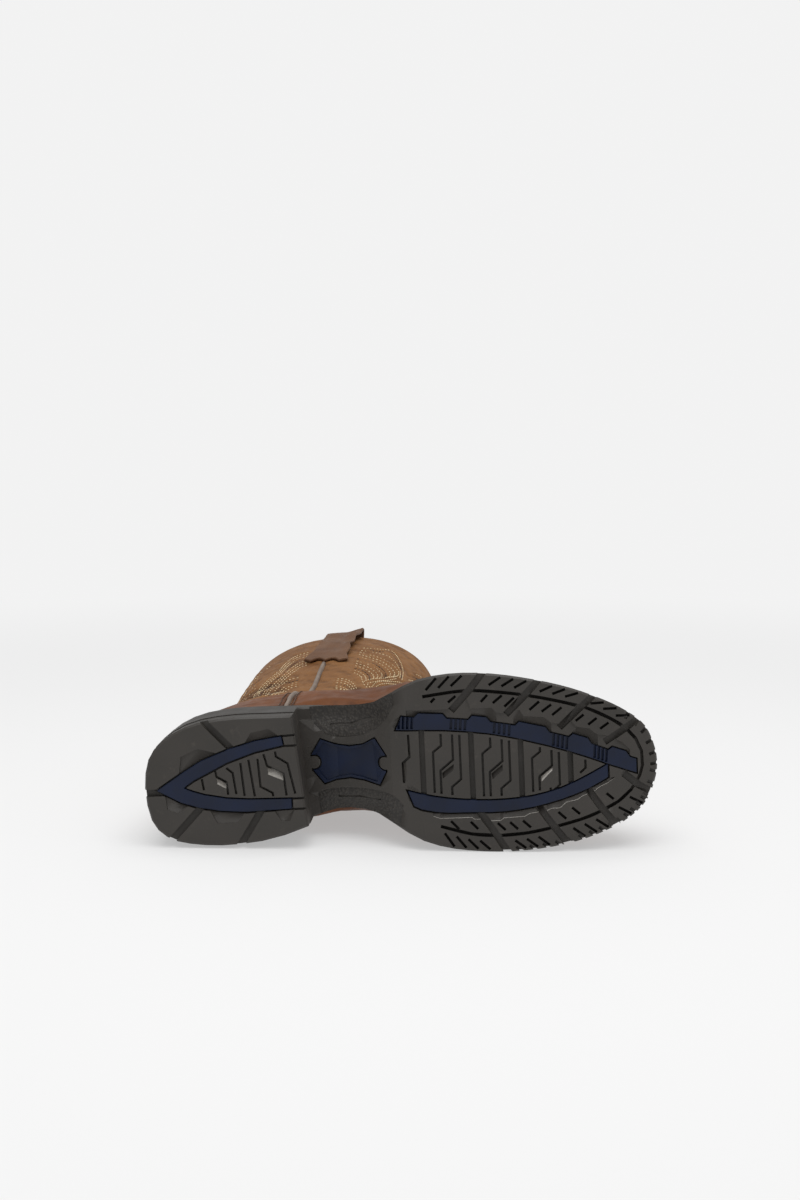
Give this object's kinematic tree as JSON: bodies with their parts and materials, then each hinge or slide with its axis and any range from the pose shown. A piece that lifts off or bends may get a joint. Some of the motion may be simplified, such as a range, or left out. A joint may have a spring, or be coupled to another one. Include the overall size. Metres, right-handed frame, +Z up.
{
  "type": "western work boot",
  "caption": "Pull-on leather western work boot for the right foot, hollow upper with round toe, moulded rubber sole with heel, lying on its side",
  "frame": {"origin": "middle of the footprint on the floor, at the lowest point of the boot as it lies on its medial side", "axes": "+X from heel to toe, +Y from the tread up the shaft, +Z up, which is the boot's lateral side"},
  "size_m": [0.31, 0.2972, 0.1083],
  "materials": {
    "rubber": "matte dark grey-brown moulded rubber",
    "navy_rubber": "satin navy moulded rubber",
    "foot_leather": "oiled brown leather, soft satin",
    "shaft_leather": "brown leather with rows of cream stitching",
    "trim": "pale taupe piping",
    "insole_board": "tan lined insole board"
  },
  "bodies": {
    "root": {"outsole": "rubber", "heel_lift": "rubber", "heel_insert": "navy_rubber", "forefoot_insert_lateral": "navy_rubber", "forefoot_insert_medial": "navy_rubber", "shank_plate": "navy_rubber", "upper": "shaft_leather", "vamp": "foot_leather", "counter": "foot_leather", "piping_lateral": "trim", "piping_medial": "trim", "pull_strap_lateral": "foot_leather", "pull_strap_medial": "foot_leather", "insole": "insole_board"}
  },
  "joints": []
}
